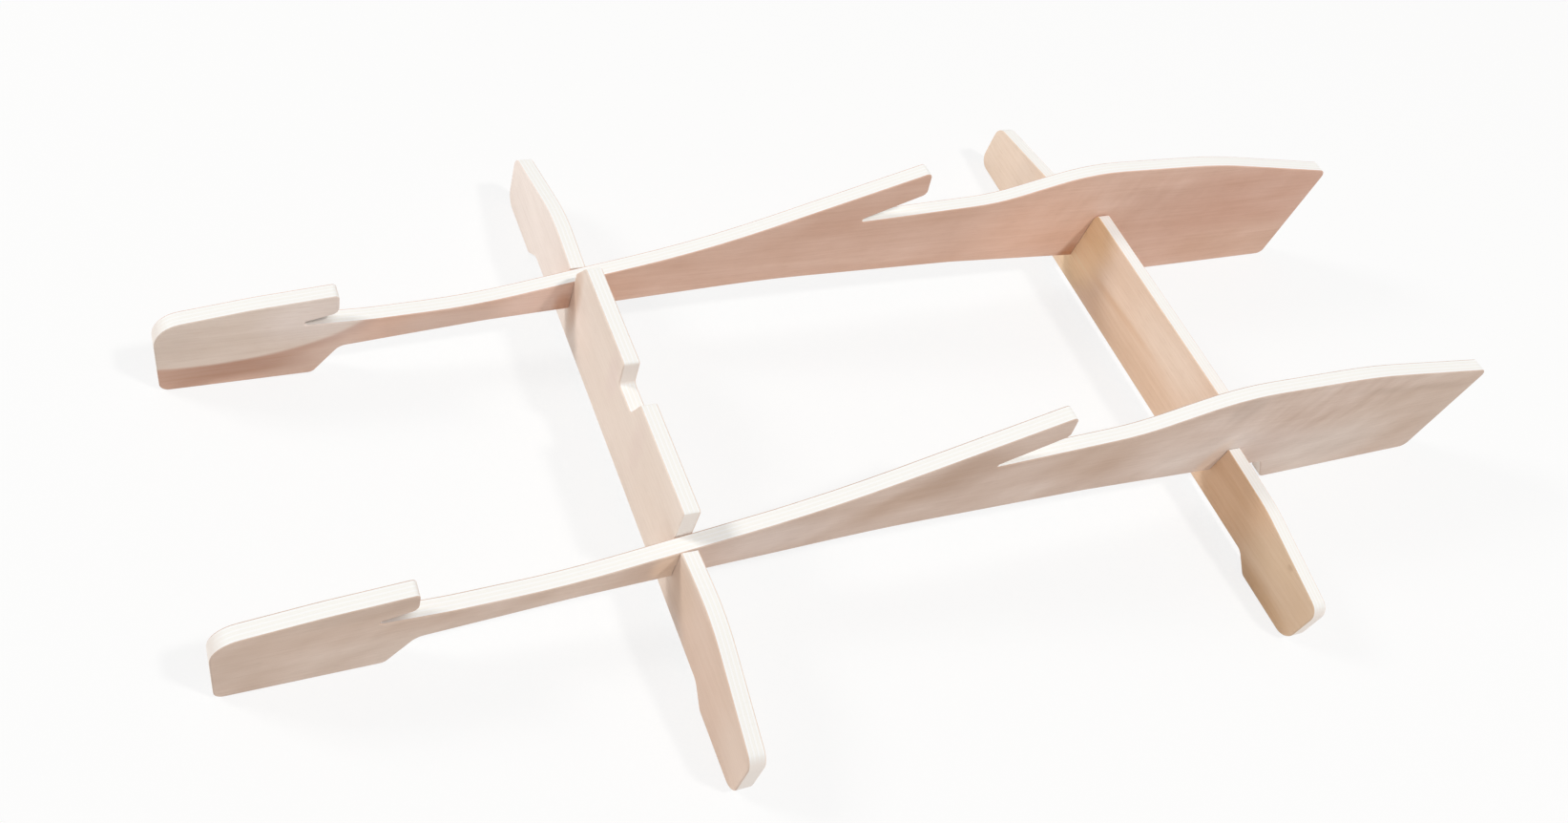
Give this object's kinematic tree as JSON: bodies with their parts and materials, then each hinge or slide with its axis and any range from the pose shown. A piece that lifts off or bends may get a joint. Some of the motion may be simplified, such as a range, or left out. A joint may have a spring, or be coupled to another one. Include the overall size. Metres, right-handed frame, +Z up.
{
  "type": "board stand",
  "caption": "Low knock-down plywood stand: slotted rails with a hook, a sloping arm and a deep tail lap over footed crossbars and cradle a board off the floor.",
  "frame": {"origin": "on the floor, under the middle of the stand", "axes": "+X from the rails' heads to their tails, +Y to the left when looking along +X, +Z up"},
  "size_m": [0.966, 0.5084, 0.1405],
  "materials": {
    "left_rail_plywood": "sanded, unfinished",
    "right_rail_plywood": "sanded, unfinished",
    "front_crossbar_plywood": "sanded, unfinished",
    "rear_crossbar_plywood": "sanded, unfinished"
  },
  "bodies": {
    "crossbars": {"front_crossbar": "front_crossbar_plywood", "rear_crossbar": "rear_crossbar_plywood"},
    "left_rail": {"left_rail": "left_rail_plywood"},
    "right_rail": {"right_rail": "right_rail_plywood"}
  },
  "joints": [
    {"name": "left_rail_lift", "type": "slide", "parent": "crossbars", "child": "left_rail", "axis": [0, 0, 1], "range_m": [0, 0.06]},
    {"name": "right_rail_lift", "type": "slide", "parent": "crossbars", "child": "right_rail", "axis": [0, 0, 1], "range_m": [0, 0.06]}
  ]
}
